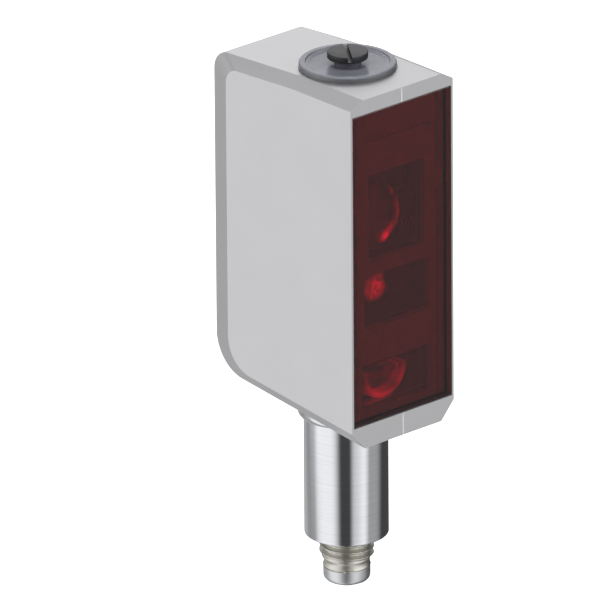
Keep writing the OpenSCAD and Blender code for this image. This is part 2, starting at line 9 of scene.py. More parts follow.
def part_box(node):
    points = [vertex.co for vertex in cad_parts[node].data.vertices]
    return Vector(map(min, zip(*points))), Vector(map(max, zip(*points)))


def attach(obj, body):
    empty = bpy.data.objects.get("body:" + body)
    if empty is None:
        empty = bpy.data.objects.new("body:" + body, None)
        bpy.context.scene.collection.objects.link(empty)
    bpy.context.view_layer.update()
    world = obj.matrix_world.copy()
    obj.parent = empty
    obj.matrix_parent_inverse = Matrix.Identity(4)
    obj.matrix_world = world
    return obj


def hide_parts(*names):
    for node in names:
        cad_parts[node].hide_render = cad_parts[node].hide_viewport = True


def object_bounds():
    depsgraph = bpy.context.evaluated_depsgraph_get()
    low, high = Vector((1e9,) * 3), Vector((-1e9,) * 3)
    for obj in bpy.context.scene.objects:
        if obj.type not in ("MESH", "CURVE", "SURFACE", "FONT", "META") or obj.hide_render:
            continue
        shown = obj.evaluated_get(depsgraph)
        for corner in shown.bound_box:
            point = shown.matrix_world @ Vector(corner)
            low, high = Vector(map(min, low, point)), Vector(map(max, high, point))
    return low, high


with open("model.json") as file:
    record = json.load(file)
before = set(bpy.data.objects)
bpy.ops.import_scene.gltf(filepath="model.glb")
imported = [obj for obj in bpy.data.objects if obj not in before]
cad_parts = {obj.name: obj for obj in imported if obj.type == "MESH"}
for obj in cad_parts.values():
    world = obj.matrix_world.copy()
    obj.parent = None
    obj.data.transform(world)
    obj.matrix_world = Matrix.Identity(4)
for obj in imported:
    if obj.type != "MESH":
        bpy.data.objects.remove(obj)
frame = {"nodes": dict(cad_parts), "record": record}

CAD_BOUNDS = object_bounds()
MM = 0.001


# ---------------------------------------------------------------- sizes, from the frame, in millimetres

def mm_box(node):
    low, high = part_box(node)
    return Vector(low) / MM, Vector(high) / MM


HOUSE_LOW, HOUSE_HIGH = mm_box("housing")
STEM_LOW, STEM_HIGH = mm_box("stem_tube")
DISC_LOW, DISC_HIGH = mm_box("indicator_window")
KNOB_LOW, KNOB_HIGH = mm_box("adjuster_knob")
SCREEN_LOW, SCREEN_HIGH = mm_box("front_screen")
MARK_LOW, MARK_HIGH = mm_box("axis_marks")
SEAL_LOW, SEAL_HIGH = mm_box("screen_seal")
RING_LOW, RING_HIGH = mm_box("snap_ring")

FRONT_Y = HOUSE_LOW.y
REAR_Y = HOUSE_HIGH.y
BASE_Z = HOUSE_LOW.z
TOP_Z = HOUSE_HIGH.z
HALF_W = HOUSE_HIGH.x

RECEIVER_LOW, RECEIVER_HIGH = mm_box("receiver_lens")
RECEIVER_Z = (RECEIVER_LOW.z + RECEIVER_HIGH.z) / 2
RECEIVER_R = RECEIVER_HIGH.x
RECEIVER_DOME = 1.3
SENDER_LOW, SENDER_HIGH = mm_box("sender_lens")
SENDER_Z = (SENDER_LOW.z + SENDER_HIGH.z) / 2
SENDER_DOME = 0.9
NEAR_LOW, NEAR_HIGH = mm_box("near_lens")
NEAR_R = NEAR_HIGH.x
NEAR_Z = NEAR_LOW.z + NEAR_R

# the housing's bevels, slopes and corners, as in the CAD model
BEVEL_X = 2.4
BEVEL_TOP = 1.14
BEVEL_BOTTOM = 2.7
BEVEL_REAR = 5.1
UNDERSIDE_SLOPE = 0.11
TOP_SLOPE = 0.056
CROWN_Y = 0.2
SPINE_CORNERS = (6.0, 3.0)
SIDE_CORNERS = (5.0, 2.4)

ADJUSTER_Y = (DISC_LOW.y + DISC_HIGH.y) / 2
DISC_R = DISC_HIGH.x
SEAT_Z = TOP_Z - 0.35
RIM_TOP = TOP_Z + 0.8
NECK_TOP = DISC_HIGH.z
DISH_TOP = TOP_Z + 0.4

STEM_R = 6.0
STEM_L = -STEM_LOW.z
COLLAR_R = STEM_HIGH.x

# the plug connector: an M8 x 1 thread, then a groove for snap-in plugs
THREAD_R = 3.9
THREAD_ROOT_R = THREAD_R - 0.55
THREAD_PITCH = 1.0
SOCKET_R = 2.85
SNAP_R = 3.4
SNAP_SEAM = RING_HIGH.z

# cuts reach this far past a face, so that no skin is left
PAST = 1


# ---------------------------------------------------------------- mesh helpers

def link(name, data):
    """A new scene object for some data."""
    obj = bpy.data.objects.new(name, data)
    bpy.context.scene.collection.objects.link(obj)
    return obj


def mesh_object(name, bm):
    """A scene object, in metres, from a bmesh in millimetres."""
    bmesh.ops.scale(bm, vec=(MM, MM, MM), verts=bm.verts)
    mesh = bpy.data.meshes.new(name)
    bm.to_mesh(mesh)
    bm.free()
    return link(name, mesh)


def smooth(obj, angle=30):
    obj.data.shade_smooth()
    obj.data.set_sharp_from_angle(angle=math.radians(angle))


def finished(obj, material, body, node, angle=30):
    """Gives a piece its material and its body, and hides the CAD node that it stands for."""
    obj.data.materials.clear()
    obj.data.materials.append(material)
    smooth(obj, angle)
    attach(obj, body)
    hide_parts(node)


def bevel(obj, width, segments=3, angle=25):
    mod = obj.modifiers.new("edges", "BEVEL")
    mod.width = width * MM
    mod.segments = segments
    mod.limit_method = "ANGLE"
    mod.angle_limit = math.radians(angle)
    mod.harden_normals = True


def arc(cx, cy, r, start, end, steps):
    """Points on an arc, angles in degrees."""
    angles = [math.radians(start + (end - start) * i / steps) for i in range(steps + 1)]
    return [(cx + r * math.cos(a), cy + r * math.sin(a)) for a in angles]


def skin(bm, low, high):
    """Faces between two rings of points. A ring may be a single point."""
    steps = max(len(low), len(high))
    for i in range(steps):
        j = (i + 1) % steps
        corners = [low[i % len(low)], low[j % len(low)], high[j % len(high)], high[i % len(high)]]
        corners = list(dict.fromkeys(corners))
        if len(corners) > 2:
            bm.faces.new(corners)


def ring(bm, radius_at, z, steps, centre=(0, 0)):
    """A ring of points about a vertical axis; radius_at(share) gives the radius at a share of a turn."""
    points = []
    for i in range(steps):
        share = i / steps
        angle = 2 * math.pi * share
        r = radius_at(share)
        points.append(bm.verts.new((centre[0] + r * math.cos(angle), centre[1] + r * math.sin(angle), z)))
    return points


def lathe(profile, steps=192, centre=(0, 0), closed=True):
    """Turns a profile of (radius, z) points about a vertical axis. Points at radius 0 close the ends."""
    bm = bmesh.new()
    rows = []
    for r, z in profile:
        if r < 1e-6:
            rows.append([bm.verts.new((*centre, z))])
        else:
            rows.append(ring(bm, lambda share: r, z, steps, centre))
    for low, high in zip(rows, rows[1:]):
        skin(bm, low, high)
    if closed and len(rows[0]) > 1:
        skin(bm, rows[-1], rows[0])
    bmesh.ops.recalc_face_normals(bm, faces=bm.faces)
    return bm


def loft(bm, rows):
    """A closed solid through a row of outlines."""
    for low, high in zip(rows, rows[1:]):
        skin(bm, low, high)
    bm.faces.new(rows[0])
    bm.faces.new(rows[-1])
    bmesh.ops.recalc_face_normals(bm, faces=bm.faces)


def box_bm(low, high):
    """A box between two corners."""
    bm = bmesh.new()
    bmesh.ops.create_cube(bm, size=1)
    low, high = Vector(low), Vector(high)
    size = high - low
    for v in bm.verts:
        v.co = low + Vector([(c + 0.5) * s for c, s in zip(v.co, size)])
    return bm


def rod_bm(x, y, r, z0, z1, steps):
    """An upright rod from z0 to z1."""
    return lathe([(0, z0), (r, z0), (r, z1), (0, z1)], steps, (x, y), closed=False)


def applied(obj):
    """Bakes an object's modifiers into its mesh."""
    depsgraph = bpy.context.evaluated_depsgraph_get()
    mesh = bpy.data.meshes.new_from_object(obj.evaluated_get(depsgraph))
    obj.modifiers.clear()
    obj.data = mesh


def carve(obj, *cutters):
    """Cuts the cutters' meshes, in millimetres, out of an object."""
    weld_distance = 1e-7
    flat_angle = math.radians(0.2)
    for bm in cutters:
        cutter = mesh_object("cutter", bm)
        mod = obj.modifiers.new("cut", "BOOLEAN")
        mod.operation = "DIFFERENCE"
        mod.object = cutter
        mod.solver = "EXACT"
        applied(obj)
        bpy.data.objects.remove(cutter)
    bm = bmesh.new()
    bm.from_mesh(obj.data)
    bmesh.ops.remove_doubles(bm, verts=bm.verts, dist=weld_distance)
    bmesh.ops.dissolve_limit(bm, angle_limit=flat_angle, verts=bm.verts, edges=bm.edges)
    bm.to_mesh(obj.data)
    bm.free()


# ---------------------------------------------------------------- material helpers

# the values that noise mostly takes, and a narrower range for more contrast
NOISE_RANGE = (0.3, 0.7)
NOISE_MIDDLE = (0.35, 0.65)


class Tree:
    """A node tree, with short calls to add nodes and to fill their sockets."""

    def __init__(self, tree):
        self.tree = tree

    def add(self, kind, inputs=None, **settings):
        made = self.tree.nodes.new(kind)
        for key, value in settings.items():
            setattr(made, key, value)
        for key, value in (inputs or {}).items():
            self.put(made.inputs[key], value)
        return made

    def put(self, socket, value):
        if isinstance(value, bpy.types.NodeSocket):
            self.tree.links.new(value, socket)
        else:
            socket.default_value = value

    def math(self, operation, a, b):
        return self.add("ShaderNodeMath", {0: a, 1: b}, operation=operation).outputs[0]

    def vector(self, operation, inputs, output="Vector"):
        return self.add("ShaderNodeVectorMath", inputs, operation=operation).outputs[output]


class Nodes(Tree):
    """A material's node tree, with short calls for the patterns used here."""

    def __init__(self, name):
        self.material = bpy.data.materials.new(name)
        self.material.use_nodes = True
        super().__init__(self.material.node_tree)
        self.shader = self.tree.nodes["Principled BSDF"]
        self.output = self.tree.nodes["Material Output"]

    def set(self, **values):
        """Fills the shader's sockets; an underscore stands for a space."""
        for key, value in values.items():
            self.put(self.shader.inputs[key.replace("_", " ")], value)

    def place(self, scale=(1, 1, 1)):
        """Object coordinates in millimetres, times scale."""
        coords = self.add("ShaderNodeTexCoord").outputs["Object"]
        mapping = self.add("ShaderNodeMapping", {"Vector": coords})
        mapping.inputs["Scale"].default_value = [s / MM for s in scale]
        return mapping.outputs["Vector"]

    def noise(self, scale=1.0, detail=3.0, roughness=0.5, stretch=(1, 1, 1)):
        """Noise with about scale features a millimetre."""
        inputs = {"Vector": self.place(stretch), "Scale": scale, "Detail": detail, "Roughness": roughness}
        return self.add("ShaderNodeTexNoise", inputs).outputs["Fac"]

    def axis(self, name):
        """One object coordinate, in millimetres."""
        return self.add("ShaderNodeSeparateXYZ", {"Vector": self.place()}).outputs[name]

    def distance(self, point, keep=(1, 0, 1)):
        """Distance in millimetres from a point, in the axes that keep picks."""
        target = [p * k for p, k in zip(point, keep)]
        return self.vector("DISTANCE", {0: self.place(keep), 1: target}, "Value")

    def most(self, *values):
        """The largest of several values."""
        largest = values[0]
        for value in values[1:]:
            largest = self.math("MAXIMUM", largest, value)
        return largest

    def times(self, *values):
        """The product of several values."""
        product = values[0]
        for value in values[1:]:
            product = self.math("MULTIPLY", product, value)
        return product

    def ramp(self, value, low, high, out_low=0.0, out_high=1.0):
        """out_low at low, out_high at high, and straight between them."""
        inputs = {"Value": value, "From Min": low, "From Max": high, "To Min": out_low, "To Max": out_high}
        return self.add("ShaderNodeMapRange", inputs).outputs["Result"]

    def spread(self, noise, out_low=0.0, out_high=1.0):
        """Noise spread over a range."""
        return self.ramp(noise, *NOISE_RANGE, out_low, out_high)

    def contrast(self, noise):
        """Noise spread over 0 to 1 with more contrast."""
        return self.ramp(noise, *NOISE_MIDDLE)

    def spot(self, x, z, outer, inner, out_low=0.0, out_high=1.0):
        """A round spot in the front view: out_high within the inner radius, out_low outside the outer."""
        return self.ramp(self.distance((x, 0, z)), outer, inner, out_low, out_high)

    def mix(self, factor, a, b):
        made = self.add("ShaderNodeMix", {0: factor, 6: a, 7: b}, data_type="RGBA")
        return made.outputs[2]

    def bump(self, height, distance, strength):
        inputs = {"Height": height, "Distance": distance * MM, "Strength": strength}
        return self.add("ShaderNodeBump", inputs).outputs["Normal"]

    def lamps_pass(self, tint):
        """Lets lamps light what is behind a glass, through a clear shader that only their rays meet."""
        path = self.add("ShaderNodeLightPath").outputs["Is Shadow Ray"]
        clear = self.add("ShaderNodeBsdfTransparent", {"Color": tint})
        mixed = self.add("ShaderNodeMixShader", {0: path, 1: self.shader.outputs[0], 2: clear.outputs[0]})
        self.put(self.output.inputs["Surface"], mixed.outputs[0])


# ---------------------------------------------------------------- materials

TURNED_GREY = 0.74
TURNED_ROUGH = 0.13
CLEAR_PLASTIC_IOR = 1.49


def grey(value, warm=0.0):
    """A grey; warm adds a little red and takes blue away."""
    return (value * (1 + 0.3 * warm), value, value * (1 - warm), 1)


def shaded(color, factor):
    """A colour times a factor, kept below 1."""
    return [min(1, c * factor) for c in color] + [1]


def blasted_steel():
    n = Nodes("blasted_stainless")
    grain = n.noise(14, 2)
    cloud = n.noise(0.12, 3)
    grain_share, cloud_share = 0.6, 0.4
    tone = n.math("ADD", n.spread(grain, 0.0, grain_share), n.spread(cloud, 0.0, cloud_share))
    n.set(Base_Color=n.mix(tone, (0.66, 0.656, 0.666, 1), (0.70, 0.696, 0.706, 1)), Metallic=1.0,
          Roughness=n.spread(grain, 0.44, 0.52), Normal=n.bump(grain, 0.004, 0.4))
    return n.material


def turned_steel():
    """Fine circumferential turning marks: lines at two spacings, highlights drawn out along the axis."""
    warm = -0.03
    n = Nodes("turned_stainless")
    fine = n.noise(1.0, 2, 0.6, (0.04, 0.04, 16))
    coarse = n.noise(1.0, 2, 0.6, (0.03, 0.03, 5))
    tone = n.math("ADD", n.times(fine, 0.5), n.times(coarse, 0.5))
    color = n.mix(n.contrast(tone), grey(TURNED_GREY * 0.88, warm), grey(TURNED_GREY, warm))
    n.set(Base_Color=color, Metallic=1.0, Anisotropic=0.75,
          Roughness=n.spread(tone, TURNED_ROUGH * 0.8, TURNED_ROUGH * 1.25),
          Tangent=n.add("ShaderNodeTangent", direction_type="RADIAL", axis="Z").outputs[0],
          Normal=n.bump(tone, 0.003, 0.5))
    n.shader.inputs["Anisotropic Rotation"].default_value = 0.25
    return n.material


def nickel(name, value, warm, rough):
    """Satin nickel plate with faint turning lines and a slightly cloudy gloss."""
    n = Nodes(name)
    cloud = n.noise(0.8, 2)
    lines = n.noise(1.0, 2, 0.6, (0.1, 0.1, 8))
    n.set(Base_Color=n.mix(n.spread(cloud), grey(value * 0.94, warm), grey(value, warm)), Metallic=1.0,
          Roughness=n.spread(cloud, rough, rough * 1.25), Normal=n.bump(lines, 0.0015, 0.4))
    return n.material


def moulded(name, color, rough=0.5, grain=20):
    """Moulded plastic or rubber: a fine eroded texture with a slightly cloudy gloss."""
    n = Nodes(name)
    fine = n.noise(grain, 2)
    cloud = n.noise(0.6, 3)
    n.set(Base_Color=n.mix(n.contrast(cloud), [*color, 1], shaded(color, 1.25)),
          Roughness=n.spread(cloud, rough * 0.9, min(1, rough * 1.1)),
          Normal=n.bump(fine, 0.006, 0.6))
    return n.material


def plain_metal(name, color, rough=0.3, stretch=(1, 1, 1)):
    n = Nodes(name)
    marks = n.noise(6, 3, 0.6, stretch)
    n.set(Base_Color=n.mix(n.contrast(marks), shaded(color, 0.85), [*color, 1]), Metallic=1.0,
          Roughness=n.spread(marks, rough * 0.8, rough * 1.2), Normal=n.bump(marks, 0.004, 0.5))
    return n.material


def tinted_glass(name, color, lamp_tint, ior=CLEAR_PLASTIC_IOR):
    """Clear moulded plastic: tinted, faintly wavy, with lamps let through."""
    rough = 0.03
    n = Nodes(name)
    wave = n.noise(0.25, 1)
    n.set(Base_Color=[*color, 1], Roughness=n.spread(wave, rough, rough * 1.3),
          Normal=n.bump(wave, 0.01, 0.2))
    n.shader.inputs["Transmission Weight"].default_value = 1.0
    n.shader.inputs["IOR"].default_value = ior
    n.lamps_pass([*lamp_tint, 1])
    return n.material


def smoky_plastic():
    """Smoky moulded plastic, with painted shade under the knob over the window's middle and a painted dark
    line along the rim's outer edge, for the rim's dark reflections and contact shadow.
    """
    knob_shade_outer_r, knob_shade_inner_r = 3.2, 1.9
    rim_shade_start, rim_shade_end = DISC_R - 0.12, DISC_R - 0.02
    n = Nodes("smoky_grey_plastic")
    cloud = n.noise(0.35, 3)
    radius = n.distance((0, ADJUSTER_Y, 0), (1, 1, 0))
    body = n.mix(n.spread(cloud), (0.28, 0.29, 0.34, 1), (0.36, 0.37, 0.42, 1))
    # painted shade: the rim's outer edge is darkened, for its dark reflections and contact shadow
    edge = n.ramp(radius, rim_shade_start, rim_shade_end)
    # painted shade under the knob: darkest within the inner radius, fading out by the outer radius
    shade = n.mix(n.ramp(radius, knob_shade_inner_r, knob_shade_outer_r), (0.16, 0.15, 0.20, 1), body)
    n.set(Base_Color=n.mix(edge, shade, (0.17, 0.17, 0.185, 1)), Roughness=n.spread(cloud, 0.20, 0.28),
          Normal=n.bump(cloud, 0.01, 0.3))
    n.shader.inputs["Transmission Weight"].default_value = 0.25
    n.shader.inputs["IOR"].default_value = CLEAR_PLASTIC_IOR
    return n.material


def circuit_board():
    """Solder resist over copper tracks: fine steps of tone in a grid."""
    n = Nodes("solder_resist")
    cells = n.add("ShaderNodeTexVoronoi", {"Vector": n.place(), "Scale": 1.1}, distance="CHEBYCHEV",
                  feature="DISTANCE_TO_EDGE").outputs["Distance"]
    track_edge = (0.06, 0.1)
    track = n.ramp(cells, *track_edge)
    n.set(Base_Color=n.mix(track, (0.03, 0.20, 0.08, 1), (0.015, 0.09, 0.04, 1)), Roughness=0.35,
          Normal=n.bump(track, 0.02, 0.5))
    return n.material


def carrier_plastic():
    """Charcoal plastic, with painted shade behind its face: the colour darkens to near black with depth
    along Y, for the shade in the light-trap chambers.
    """
    depth_shade_start, depth_shade_full = FRONT_Y + 2.6, FRONT_Y + 3.2
    n = Nodes("carrier_plastic_with_painted_depth_shade")
    fine = n.noise(20, 2)
    cloud = n.noise(0.5, 3)
    # painted shade: 0 at the face, 1 deep inside, where the colour goes near black
    inside = n.ramp(n.axis("Y"), depth_shade_start, depth_shade_full)
    face = n.mix(n.contrast(cloud), (0.115, 0.10, 0.10, 1), (0.15, 0.13, 0.13, 1))
    n.set(Base_Color=n.mix(inside, face, (0.012, 0.011, 0.011, 1)), Roughness=n.spread(cloud, 0.45, 0.6),
          Normal=n.bump(fine, 0.006, 0.6))
    return n.material


# ---------------------------------------------------------------- the sender's red light, painted into the lenses as emission

# strength of the painted red glow in the lenses
GLOW = 1.8


def lens_with_painted_glow(name, glow):
    """Clear plastic with the sender's red light painted in as emission; glow(n) gives its painted pattern
    from 0 to 1.
    """
    n = Nodes(name)
    wave = n.noise(0.5, 2)
    n.set(Base_Color=(0.10, 0.03, 0.035, 1), Roughness=n.spread(wave, 0.08, 0.14),
          Normal=n.bump(wave, 0.01, 0.3))
    n.shader.inputs["Transmission Weight"].default_value = 0.5
    n.shader.inputs["IOR"].default_value = CLEAR_PLASTIC_IOR
    pattern = glow(n)
    n.put(n.shader.inputs["Emission Color"], n.mix(pattern, (0.7, 0.0, 0.12, 1), (1.0, 0.01, 0.25, 1)))
    n.put(n.shader.inputs["Emission Strength"], n.times(pattern, GLOW))
    return n.material


def receiver_painted_glow(n):
    """Painted light: a crescent along the rim's right side that ends in a speckled spot low down."""
    crescent_glow, thread_glow, tail_glow = 0.26, 0.16, 0.2
    from_axis = n.distance((0, 0, RECEIVER_Z))
    rim = n.times(n.ramp(from_axis, RECEIVER_R - 1.5, RECEIVER_R - 0.6),
                  n.ramp(from_axis, RECEIVER_R, RECEIVER_R - 0.3))
    side = n.spot(RECEIVER_R - 0.6, RECEIVER_Z - 0.4, 2.9, 0.2)
    crescent = n.times(rim, side, crescent_glow)
    thread = n.times(n.spot(3.3, RECEIVER_Z + 3.1, 0.6, 0.2), thread_glow)
    tail = n.times(n.spot(2.9, RECEIVER_Z - 1.9, 1.2, 0.2), tail_glow)
    speckle = n.ramp(n.noise(2.6, 3, 0.7), 0.42, 0.60, 0.22, 1.0)
    upper = n.spot(2.5, RECEIVER_Z - 2.3, 1.1, 0.3, 0.0, 0.6)
    lower = n.spot(1.75, RECEIVER_Z - 3.0, 1.3, 0.45)
    return n.most(crescent, thread, tail, n.times(n.most(upper, lower), speckle))


def sender_painted_glow(n):
    """Painted light: an uneven spot, wide below and narrow above."""
    column_glow = 0.7
    body = n.spot(-0.45, SENDER_Z - 0.1, 2.1, 0.8)
    column = n.times(n.spot(0.3, SENDER_Z + 1.7, 1.1, 0.3), column_glow)
    uneven = n.ramp(n.noise(1.2, 2, 0.6), 0.40, 0.62, 0.18, 0.62)
    return n.times(n.most(body, column), uneven)


def near_painted_glow(n):
    """Painted light along the rim, strongest low on the left, with a fainter ring and streaks inside it."""
    low_glow, right_glow, ring_glow, streak_glow = 0.50, 0.30, 0.22, 0.06
    ring_r, ring_half = NEAR_R - 1.7, 0.35
    from_centre = n.distance((0, 0, NEAR_Z))
    rim = n.ramp(from_centre, NEAR_R - 1.2, NEAR_R - 0.7)
    outer = n.ramp(from_centre, NEAR_R, NEAR_R - 0.5, 0.4, 1.0)
    low = n.spot(-1.2, NEAR_Z - NEAR_R, 4.2, 0.8, 0.06, low_glow)
    right = n.spot(NEAR_R - 0.6, NEAR_Z - 2, 2.6, 0.6, 0.0, right_glow)
    band = n.times(rim, outer, n.most(low, right))
    ring_line = n.times(n.ramp(from_centre, ring_r - ring_half, ring_r),
                        n.ramp(from_centre, ring_r + ring_half, ring_r))
    inner = n.times(ring_line, n.spot(ring_r, NEAR_Z, 2.4, 0.5, 0.0, ring_glow))
    streaks = n.ramp(n.noise(0.5, 1, 0.5, (0.9, 1, 2.2)), 0.5, 0.64, 0.0, streak_glow)
    inside = n.times(streaks, n.ramp(from_centre, NEAR_R, NEAR_R - 0.6))
    return n.most(band, inner, inside)


# three looks that differ from their slot's own material
CARRIER_MATERIAL = carrier_plastic()
SCREEN_EDGE_MATERIAL = moulded("screen_edge", (0.28, 0.19, 0.21))
SNAP_RING_MATERIAL = nickel("bright_nickel_plate", 0.68, -0.02, 0.34)
MATERIALS = {
    "housing_steel": blasted_steel(),
    "mark_fill": moulded("mark_paint", (0.52, 0.52, 0.53)),
    "seal_black": moulded("black_rubber", (0.018, 0.016, 0.017), 0.6),
    "screen_red": tinted_glass("red_screen", (0.42, 0.05, 0.055), (0.52, 0.07, 0.075), ior=1.44),
    "indicator_clear": smoky_plastic(),
    "spring_steel": plain_metal("spring_steel", (0.52, 0.52, 0.53)),
    "brass": plain_metal("turned_brass", (0.72, 0.52, 0.22), 0.25, (0.2, 0.2, 2)),
    "knob_black": moulded("knob_plastic", (0.012, 0.012, 0.015), 0.40, 24),
    "turned_steel": turned_steel(),
    # painted shade: the carrier parts inside are near black, darker than the carrier's charcoal face, for
    # the shade they sit in
    "carrier_black": moulded("carrier_plastic", (0.018, 0.017, 0.018)),
    "lens_clear": tinted_glass("lens_plastic", (0.95, 0.9, 0.9), (0.9, 0.85, 0.85)),
    "lens_red": tinted_glass("red_lens_plastic", (0.9, 0.1, 0.1), (0.9, 0.2, 0.2)),
    "chip_black": moulded("chip_package", (0.02, 0.02, 0.022), 0.3, 12),
    "board_green": circuit_board(),
    "led_clear": moulded("led_encapsulation", (0.75, 0.72, 0.4), 0.2),
    "wire_brown": moulded("wire_insulation", (0.12, 0.05, 0.02), 0.4),
    "nickel": nickel("nickel_plate", 0.60, 0.09, 0.34),
    "black_steel": plain_metal("blackened_steel", (0.02, 0.02, 0.022), 0.4),
    "gold_contact": plain_metal("gold_plate", (0.9, 0.62, 0.22), 0.18, (0.3, 0.3, 3)),
}


# ---------------------------------------------------------------- CAD nodes that stay

ROUNDED_NODES = ("optics_carrier", "lens_carriage", "led_holder", "board_chips", "far_receiver",
                 "near_receiver", "main_board", "status_leds", "light_guide", "window_clip", "spindle_clip",
                 "screen_seal", "board_screws", "carriage_nut", "spindle_bush", "contact_insert")


def dress_cad_nodes():
    """Every CAD node gets its slot's material; moulded and stamped ones get small rounded edges."""
    weld_distance = 1e-6
    slots = {row["node"]: row["material_slot"] for row in frame["record"]["subparts"]}
    for name, obj in frame["nodes"].items():
        material = CARRIER_MATERIAL if name == "optics_carrier" else MATERIALS[slots[name]]
        if name in ROUNDED_NODES:
            weld = obj.modifiers.new("weld", "WELD")
            weld.merge_threshold = weld_distance
            bevel(obj, 0.05, 2, 40)
        if not obj.material_slots:
            obj.data.materials.append(material)
        for place in obj.material_slots:
            place.link = "OBJECT"
            place.material = material


# ---------------------------------------------------------------- housing

def outline(in_top, in_low, in_rear, corners):
    """The housing's outline in the YZ plane; the insets move its edges inwards."""
    steps = 18
    low_r, top_r = corners
    y = REAR_Y - in_rear
    low_tilt = math.atan(UNDERSIDE_SLOPE)
    top_tilt = math.atan(TOP_SLOPE)
    low_z = BASE_Z + UNDERSIDE_SLOPE * (y - low_r - FRONT_Y) + in_low + low_r / math.cos(low_tilt)
    top_z = TOP_Z - TOP_SLOPE * (y - top_r - CROWN_Y) - in_top - top_r / math.cos(top_tilt)
    return ([(FRONT_Y, BASE_Z + in_low)]
            + arc(y - low_r, low_z, low_r, -90 + math.degrees(low_tilt), 0, steps)
            + arc(y - top_r, top_z, top_r, 0, 90 - math.degrees(top_tilt), steps)
            + [(CROWN_Y, TOP_Z - in_top), (FRONT_Y, TOP_Z - in_top)])


def housing():
    spine = outline(0, 0, 0, SPINE_CORNERS)
    side = outline(BEVEL_TOP, BEVEL_BOTTOM, BEVEL_REAR, SIDE_CORNERS)
    stations = [(-HALF_W, side), (-HALF_W + BEVEL_X, spine), (HALF_W - BEVEL_X, spine), (HALF_W, side)]
    bm = bmesh.new()
    rows = [[bm.verts.new((x, y, z)) for y, z in points] for x, points in stations]
    loft(bm, rows)
    obj = mesh_object("housing_shell", bm)
    recess_rear = FRONT_Y + 3.9
    room_half = HALF_W - 1.4
    room_rear = REAR_Y - 5.1
    window_bore_r = 5.05
    stem_bore_r = 5.0
    sill, lintel = SEAL_LOW.z, SEAL_HIGH.z
    room_low, room_high = sill + 0.8, lintel - 1.2
    mark_half = MARK_HIGH.x
    mark_rear = FRONT_Y + MARK_HIGH.y - MARK_LOW.y
    front = FRONT_Y - PAST
    carve(obj,
          box_bm((SEAL_LOW.x, front, sill), (SEAL_HIGH.x, recess_rear, lintel)),
          box_bm((-room_half, recess_rear - PAST, room_low), (room_half, room_rear, room_high)),
          rod_bm(0, ADJUSTER_Y, DISC_R + 0.05, SEAT_Z, TOP_Z + PAST, 192),
          rod_bm(0, ADJUSTER_Y, window_bore_r, lintel - 2 * PAST, SEAT_Z + PAST / 2, 96),
          rod_bm(0, 0, stem_bore_r, BASE_Z - 2 * PAST, sill + 2 * PAST, 96),
          box_bm((-mark_half, front, lintel - PAST), (mark_half, mark_rear, TOP_Z + PAST)),
          box_bm((-mark_half, front, BASE_Z - PAST), (mark_half, mark_rear, sill + PAST)))
    bevel(obj, 0.09, 3, 15)
    finished(obj, MATERIALS["housing_steel"], "body", "housing", 15)


# ---------------------------------------------------------------- stem

def stem():
    """Turned tube with a rounded collar whose top follows the sloped underside."""
    bottom_edge = 0.15
    bore_r, upper_bore_r = 4.7, 3.6
    bore_end = -STEM_L + 4
    collar_r = COLLAR_R - STEM_R
    top = BASE_Z + UNDERSIDE_SLOPE * (COLLAR_R - FRONT_Y) + 0.3
    profile = ([(bore_r, bore_end), (bore_r, -STEM_L)]
               + arc(STEM_R - bottom_edge, -STEM_L + bottom_edge, bottom_edge, -90, 0, 4)
               + [(STEM_R, 0.0)]
               + arc(STEM_R, collar_r, collar_r, -88, 0, 16)
               + [(COLLAR_R, top), (upper_bore_r, top), (upper_bore_r, bore_end)])
    obj = mesh_object("mounting_stem", lathe(profile, 256))
    slope = math.atan(UNDERSIDE_SLOPE)
    over = box_bm((-20, -30, 0), (20, 60, 20))
    bmesh.ops.rotate(over, cent=(0, 0, 0), matrix=Matrix.Rotation(slope, 3, "X"), verts=over.verts)
    bmesh.ops.translate(over, vec=(0, FRONT_Y, BASE_Z), verts=over.verts)
    carve(obj, over)
    finished(obj, MATERIALS["turned_steel"], "body", "stem_tube")


# ---------------------------------------------------------------- plug connector

def thread_height(turn, phase):
    """Height of the helical thread, 0 at the root and 1 at the crest, at a turn count below the stem."""
    crest_share, root_share = 0.14, 0.16
    flank = (1 - crest_share - root_share) / 2
    from_crest = abs(((turn - phase) % 1.0) - 0.5)
    return 1.0 - min(1.0, max(0.0, (from_crest - crest_share / 2) / flank))


def add_key(bm, z):
    """A small pointed key with chamfered sides, across the seam between the sleeve and the snap ring."""
    azimuth = math.radians(233)
    half, top, shoulder, point = 0.75, 0.26, 0.04, -0.3
    root_r, edge_r, face_r = SNAP_R - 0.4, SNAP_R - 0.06, SNAP_R + 0.05
    face_size = 0.8
    out = Vector((math.cos(azimuth), math.sin(azimuth), 0))
    side = Vector((-math.sin(azimuth), math.cos(azimuth), 0))
    shape = [(-half, top), (half, top), (half, shoulder), (0, point), (-half, shoulder)]
    rows = []
    for r, size in ((root_r, 1.0), (edge_r, 1.0), (face_r, face_size)):
        middle = out * r + Vector((0, 0, z))
        rows.append([bm.verts.new(middle + side * u * size + Vector((0, 0, v * size))) for u, v in shape])
    loft(bm, rows)


